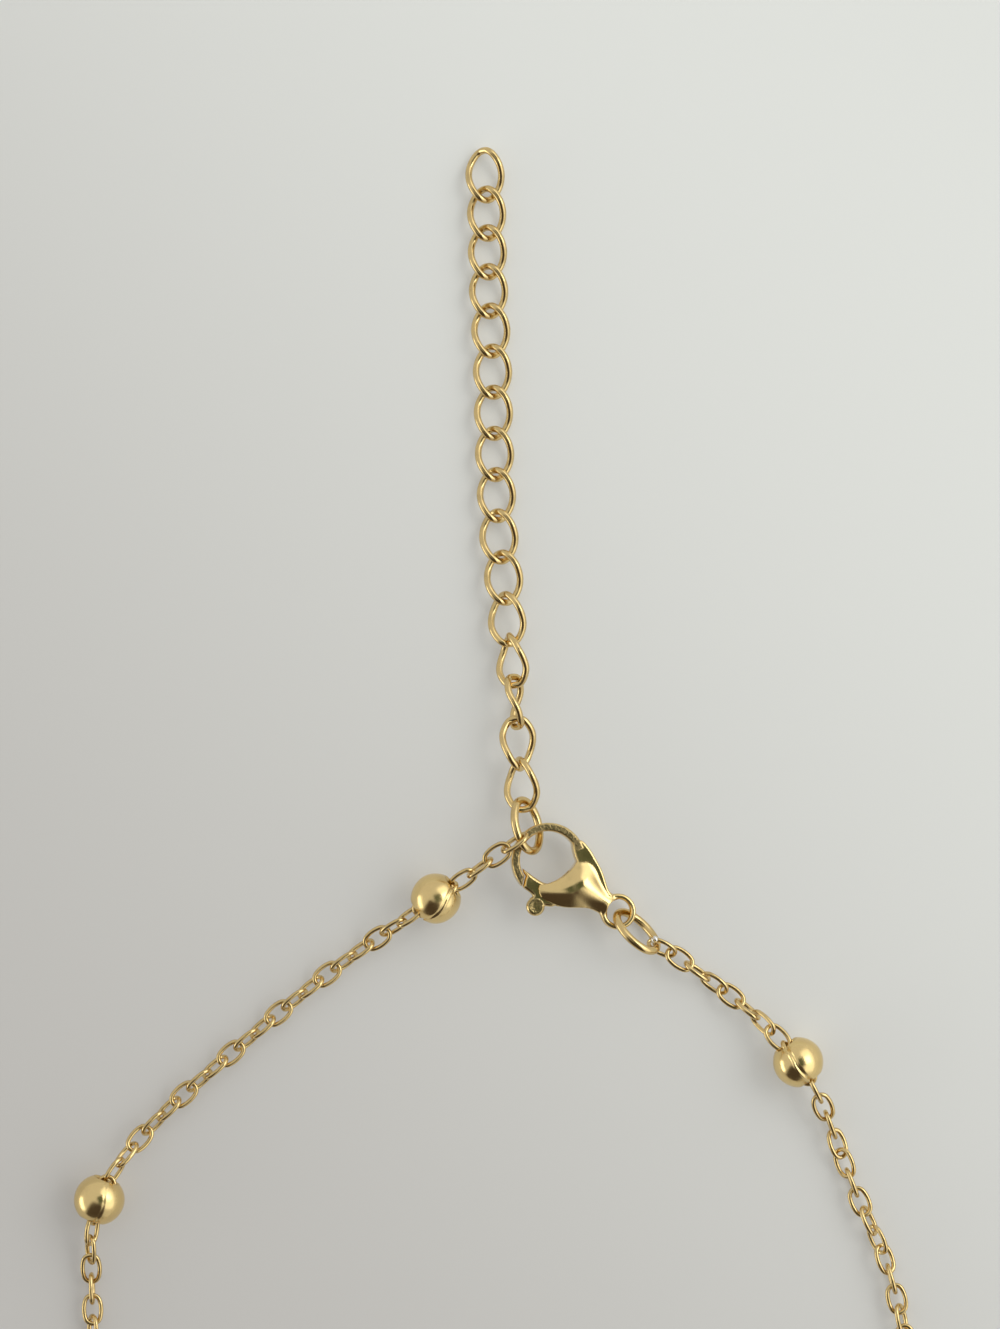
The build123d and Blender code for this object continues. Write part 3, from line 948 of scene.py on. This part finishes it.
    def lever_field(self, x: np.ndarray, y: np.ndarray, z: np.ndarray) -> np.ndarray:
        """Field of the lever.

        Args:
            x: Coordinates along the clasp.
            y: Coordinates across it.
            z: Heights.

        Returns:
            The field, negative inside.
        """
        flat_x, flat_y = x[:, :, :1], y[:, :, :1]
        arm = outline_distance(flat_x, flat_y, smooth_loop(self.lever_outline, parts=4))
        tab_x, tab_y, tab_radius = self.tab
        tab = np.hypot(flat_x - tab_x, flat_y - tab_y) - tab_radius
        around = np.hypot(flat_x - self.pivot[0], flat_y - self.pivot[1])
        flat = np.minimum(np.minimum(arm, tab), around - self.boss)
        lever = slab(flat, z, self.lever_half, self.lever_edge)
        above = np.abs(z) - self.lever_half - self.dish_radius + self.dish_depth
        dish = self.dish_radius - np.sqrt((x - tab_x) ** 2 + (y - tab_y) ** 2 + above**2)
        return np.maximum(np.maximum(lever, dish), self.pin_hole - around)

    def build(self) -> None:
        """Makes the cast body and the lever, and dresses the pin."""
        place = self.place()
        x, y, z = self.grid(self.body_low, self.body_high)
        points, quads = surface_net(self.cast_body(x, y, z), np.array(self.body_low), self.step)
        skin = Skin()
        skin.add(place.put(points), quads)
        body = skin.to_object("clasp_casting")
        self._mark_grain_and_shade(body, self._hook_grain_and_shade(points))
        settle(body, ANKLET, "clasp_body", self.finish)

        x, y, z = self.grid(self.lever_low, self.lever_high)
        points, quads = surface_net(self.lever_field(x, y, z), np.array(self.lever_low), self.step)
        skin = Skin()
        skin.add(place.put(points), quads)
        lever = skin.to_object("clasp_thumb_lever")
        from_tab = np.hypot(points[:, 0] - self.tab[0], points[:, 1] - self.tab[1])
        on_face = np.abs(points[:, 2]) > self.lever_half - self.lever_edge
        # The tab's dished face is marked cast, which through the finish also paints it darker as painted shade.
        self._mark_grain_and_shade(lever, np.where(on_face & (from_tab < self.tab[2] - 0.1), 0.55, 0.1))
        settle(lever, LEVER, "clasp_lever", self.finish)

        pin = frame["nodes"]["clasp_pivot_pin"]
        pin.data.materials.clear()
        pin.data.materials.append(self.finish.material())

    def _hook_grain_and_shade(self, points: np.ndarray) -> np.ndarray:
        """How cast each point of the body is: the hook's flat faces, less so the spine's; through the finish the
        same share paints shade on these faces.
        """
        out = np.hypot(points[:, 0], points[:, 1])
        turn = np.degrees(np.arctan2(points[:, 1], points[:, 0])) % 360
        on_hook = (turn > self.hook_root - 5) & (turn < self.hook_tip + 8) & (out < self.hook_middle + 0.4)
        from_edge = self.hook_half_width - np.abs(out - self.hook_middle)
        face = np.clip((from_edge - 0.05) / 0.08, 0, 1) * np.clip((np.abs(points[:, 2]) - 0.4) / 0.08, 0, 1)
        inside_body = outline_distance(points[:, 0], points[:, 1], smooth_loop(self.body_outline)) < 0.02
        in_spine = outline_distance(points[:, 0], points[:, 1], smooth_loop(self.spine_outline)) < -0.16
        spine_face = in_spine & ~inside_body & (np.abs(points[:, 2]) > self.spine_half - 0.1)
        return np.where(on_hook & ~inside_body, face, 0) + np.where(spine_face, 0.12, 0)

    @staticmethod
    def _mark_grain_and_shade(piece: bpy.types.Object, cast_grain_and_shade: np.ndarray) -> None:
        """Writes the share of unpolished face at each point of a mesh, which through the finish also paints shade
        there.
        """
        mark = piece.data.attributes.new("cast_grain_and_shade", "FLOAT", "POINT")
        mark.data.foreach_set("value", cast_grain_and_shade.clip(0, 1))


# ---------------------------------------------------------------- room, floor and camera


@dataclass(frozen=True)
class Pane:
    """Soft-edged patch of the room that the metal mirrors.

    Args:
        azimuth: Its middle, in degrees from +X towards +Y.
        elevation: Its middle above the horizon, in degrees.
        width: Half its angle along the horizon, in degrees.
        height: Half its angle upwards, in degrees.
        colour: Its light.
        edge: Softness of its edge, as a share of its size.
    """

    azimuth: float
    elevation: float
    width: float
    height: float
    colour: tuple[float, float, float]
    edge: float = 0.35

    def axes(self) -> tuple[Vector, Vector, Vector]:
        """Directions to its middle, along the horizon and upwards."""
        turn, rise = radians(self.azimuth), radians(self.elevation)
        middle = Vector((cos(turn) * cos(rise), sin(turn) * cos(rise), sin(rise)))
        across = Vector((-sin(turn), cos(turn), 0))
        return middle, across, middle.cross(across)


@dataclass
class Room:
    """Plain soft daylight: a pale room with a large window and a few darker places."""

    ambient: tuple[float, float, float] = (0.67, 0.665, 0.65)
    backdrop: tuple[float, float, float] = (0.6, 0.6, 0.58)
    panes: tuple[Pane, ...] = (
        Pane(14, 40, 46, 26, (1.45, 1.45, 1.4), 0.35),
        Pane(253, 36, 33, 44, (0.07, 0.055, 0.045), 0.3),
        Pane(192, 4, 20, 13, (2.7, 2.7, 2.5)),
        Pane(24, 75, 19, 17, (0.09, 0.11, 0.075), 0.25),
    )
    lamp_azimuth: float = 20.0
    lamp_elevation: float = 43.0
    lamp_distance: float = 0.6
    lamp_size: float = 0.3
    lamp_watts: float = 0.45

    def build(self) -> None:
        """Makes the room's light and the window's lamp."""
        world = bpy.data.worlds.new("pale room")
        bpy.context.scene.world = world
        world.use_nodes = True
        tree = world.node_tree
        background = tree.nodes["Background"]
        way = tree.nodes.new("ShaderNodeTexCoord").outputs["Generated"]
        light: bpy.types.NodeSocket | None = None
        for pane in self.panes:
            light = self._paned(tree, way, light, pane)
        rays = tree.nodes.new("ShaderNodeLightPath")
        seen = tree.nodes.new("ShaderNodeMix")
        seen.data_type = "RGBA"
        seen.inputs["B"].default_value = (*self.backdrop, 1)
        tree.links.new(rays.outputs["Is Camera Ray"], seen.inputs["Factor"])
        tree.links.new(light, seen.inputs["A"])
        tree.links.new(seen.outputs["Result"], background.inputs["Color"])

        lamp = bpy.data.lights.new("window lamp", "AREA")
        lamp.shape = "SQUARE"
        lamp.size = self.lamp_size
        lamp.energy = self.lamp_watts
        lamp.color = (1.0, 0.985, 0.95)
        window = bpy.data.objects.new("window lamp", lamp)
        way_out = Pane(self.lamp_azimuth, self.lamp_elevation, 1, 1, (1, 1, 1)).axes()[0]
        window.location = way_out * self.lamp_distance
        window.rotation_euler = way_out.to_track_quat("Z", "Y").to_euler()
        bpy.context.scene.collection.objects.link(window)
        log.info("room with %d panes", len(self.panes))

    def _paned(
        self,
        tree: bpy.types.NodeTree,
        way: bpy.types.NodeSocket,
        light: bpy.types.NodeSocket | None,
        pane: Pane,
    ) -> bpy.types.NodeSocket:
        """Lays one pane over the light so far.

        Args:
            tree: The world's nodes.
            way: The direction looked in.
            light: The light so far, or nothing for the plain room.
            pane: The pane.

        Returns:
            The light with the pane in it.
        """
        middle, across, upward = pane.axes()
        ahead = self._dot(tree, way, middle)
        shares = []
        for axis, half in ((across, pane.width), (upward, pane.height)):
            ratio = self._math(tree, "DIVIDE", self._dot(tree, way, axis), ahead)
            size = self._math(tree, "ABSOLUTE", ratio)
            share = tree.nodes.new("ShaderNodeMapRange")
            share.interpolation_type = "SMOOTHSTEP"
            reach = sin(radians(half)) / cos(radians(half))
            share.inputs["From Min"].default_value = reach * (1 + pane.edge)
            share.inputs["From Max"].default_value = reach * (1 - pane.edge)
            tree.links.new(size, share.inputs["Value"])
            shares.append(share.outputs["Result"])
        facing = self._math(tree, "GREATER_THAN", ahead, 0.02)
        share = self._math(tree, "MULTIPLY", self._math(tree, "MULTIPLY", *shares), facing)
        mix = tree.nodes.new("ShaderNodeMix")
        mix.data_type = "RGBA"
        mix.inputs["A"].default_value = (*self.ambient, 1)
        mix.inputs["B"].default_value = (*pane.colour, 1)
        if light is not None:
            tree.links.new(light, mix.inputs["A"])
        tree.links.new(share, mix.inputs["Factor"])
        return mix.outputs["Result"]

    @staticmethod
    def _dot(tree: bpy.types.NodeTree, way: bpy.types.NodeSocket, axis: Vector) -> bpy.types.NodeSocket:
        """How far the direction goes along an axis."""
        dot = tree.nodes.new("ShaderNodeVectorMath")
        dot.operation = "DOT_PRODUCT"
        dot.inputs[1].default_value = axis
        tree.links.new(way, dot.inputs[0])
        return dot.outputs["Value"]

    @staticmethod
    def _math(
        tree: bpy.types.NodeTree,
        operation: str,
        first: bpy.types.NodeSocket,
        second: bpy.types.NodeSocket | float | None = None,
    ) -> bpy.types.NodeSocket:
        """One step of arithmetic on sockets."""
        node = tree.nodes.new("ShaderNodeMath")
        node.operation = operation
        tree.links.new(first, node.inputs[0])
        if isinstance(second, float):
            node.inputs[1].default_value = second
        elif second is not None:
            tree.links.new(second, node.inputs[1])
        return node.outputs["Value"]


@dataclass
class Floor:
    """Plain pale floor, its colour painted a little darker away from the window as painted shade of the window
    light falling off.
    """

    half: float = 1.5
    painted_window_light_tone: tuple[float, float, float] = (0.67, 0.685, 0.665)
    painted_far_shade_tone: tuple[float, float, float] = (0.46, 0.45, 0.435)
    glow: float = 0.38
    fade: float = 0.12

    def build(self) -> None:
        """Makes the floor under the anklet."""
        corners = [(-self.half, -self.half, 0), (self.half, -self.half, 0)]
        corners += [(self.half, self.half, 0), (-self.half, self.half, 0)]
        mesh = bpy.data.meshes.new("floor")
        mesh.from_pydata(corners, [], [(0, 1, 2, 3)])
        floor = bpy.data.objects.new("floor", mesh)
        bpy.context.scene.collection.objects.link(floor)
        floor.data.materials.append(self._paint())
        log.info("floor")

    def _paint(self) -> bpy.types.Material:
        """Matt paint whose tone changes slowly from one corner to the other: painted shade of the window light
        falling off, which its glow for camera and glossy rays carries too.
        """
        material = bpy.data.materials.new("pale floor")
        material.use_nodes = True
        tree = material.node_tree
        shader = tree.nodes["Principled BSDF"]
        shader.inputs["Roughness"].default_value = 0.75
        shader.inputs["Specular IOR Level"].default_value = 0.2
        place = tree.nodes.new("ShaderNodeTexCoord")
        # Painted shade: the base colour runs from a lit tone on the window's side to a darker tone at the far
        # corner.
        slope = tree.nodes.new("ShaderNodeVectorMath")
        slope.operation = "DOT_PRODUCT"
        slope.inputs[1].default_value = (0.75, 0.66, 0.0)
        span = tree.nodes.new("ShaderNodeMapRange")
        span.interpolation_type = "SMOOTHSTEP"
        span.inputs["From Min"].default_value = -self.fade / 3
        span.inputs["From Max"].default_value = self.fade * 0.6
        mix = tree.nodes.new("ShaderNodeMix")
        mix.data_type = "RGBA"
        mix.inputs["A"].default_value = (*self.painted_far_shade_tone, 1)
        mix.inputs["B"].default_value = (*self.painted_window_light_tone, 1)
        tree.links.new(place.outputs["Object"], slope.inputs[0])
        tree.links.new(slope.outputs["Value"], span.inputs["Value"])
        tree.links.new(span.outputs["Result"], mix.inputs["Factor"])
        tree.links.new(mix.outputs["Result"], shader.inputs["Base Color"])
        rays = tree.nodes.new("ShaderNodeLightPath")
        shown = tree.nodes.new("ShaderNodeMath")
        shown.operation = "MAXIMUM"
        glow = tree.nodes.new("ShaderNodeMath")
        glow.operation = "MULTIPLY"
        glow.inputs[1].default_value = self.glow
        tree.links.new(rays.outputs["Is Camera Ray"], shown.inputs[0])
        tree.links.new(rays.outputs["Is Glossy Ray"], shown.inputs[1])
        tree.links.new(shown.outputs["Value"], glow.inputs[0])
        # The glow takes the same painted-shade gradient as its colour.
        tree.links.new(mix.outputs["Result"], shader.inputs["Emission Color"])
        tree.links.new(glow.outputs["Value"], shader.inputs["Emission Strength"])
        return material


@dataclass
class Camera:
    """Camera above the clasp, looking down at it, its lower half past the first beads."""

    below_top: float = 38.0
    sideways: float = -0.61
    height: float = 1.5
    distance: float = 280.0
    frame_width: float = 73.0
    elevation: float = 89.0

    def build(self) -> None:
        """Makes the scene's camera."""
        lens = bpy.data.cameras.new("camera")
        lens.sensor_fit = "HORIZONTAL"
        lens.sensor_width = 36.0
        lens.lens = lens.sensor_width * self.distance / self.frame_width
        lens.clip_start = 0.01
        camera = bpy.data.objects.new("camera", lens)
        target = Vector((self.sideways * MM, cad_box[1][1] - self.below_top * MM, self.height * MM))
        rise = radians(self.elevation)
        camera.location = target + Vector((0, -cos(rise), sin(rise))) * self.distance * MM
        camera.rotation_euler = (pi / 2 - rise, 0, 0)
        bpy.context.scene.collection.objects.link(camera)
        bpy.context.scene.camera = camera
        log.info("camera")


def main() -> None:
    """Builds the camera, the anklet's pieces and the room."""
    logging.basicConfig(level=logging.INFO, format="%(message)s")
    bpy.context.scene.view_settings.view_transform = "Standard"
    Camera().build()
    chain = CableChain()
    chain.build()
    chain.build_solder("jump_ring")
    PlainRings().build()
    CurbExtender().build()
    ClampedBeads().build(chain.middles())
    LobsterClasp().build()
    Floor().build()
    Room().build()


if __name__ == "__main__":
    main()
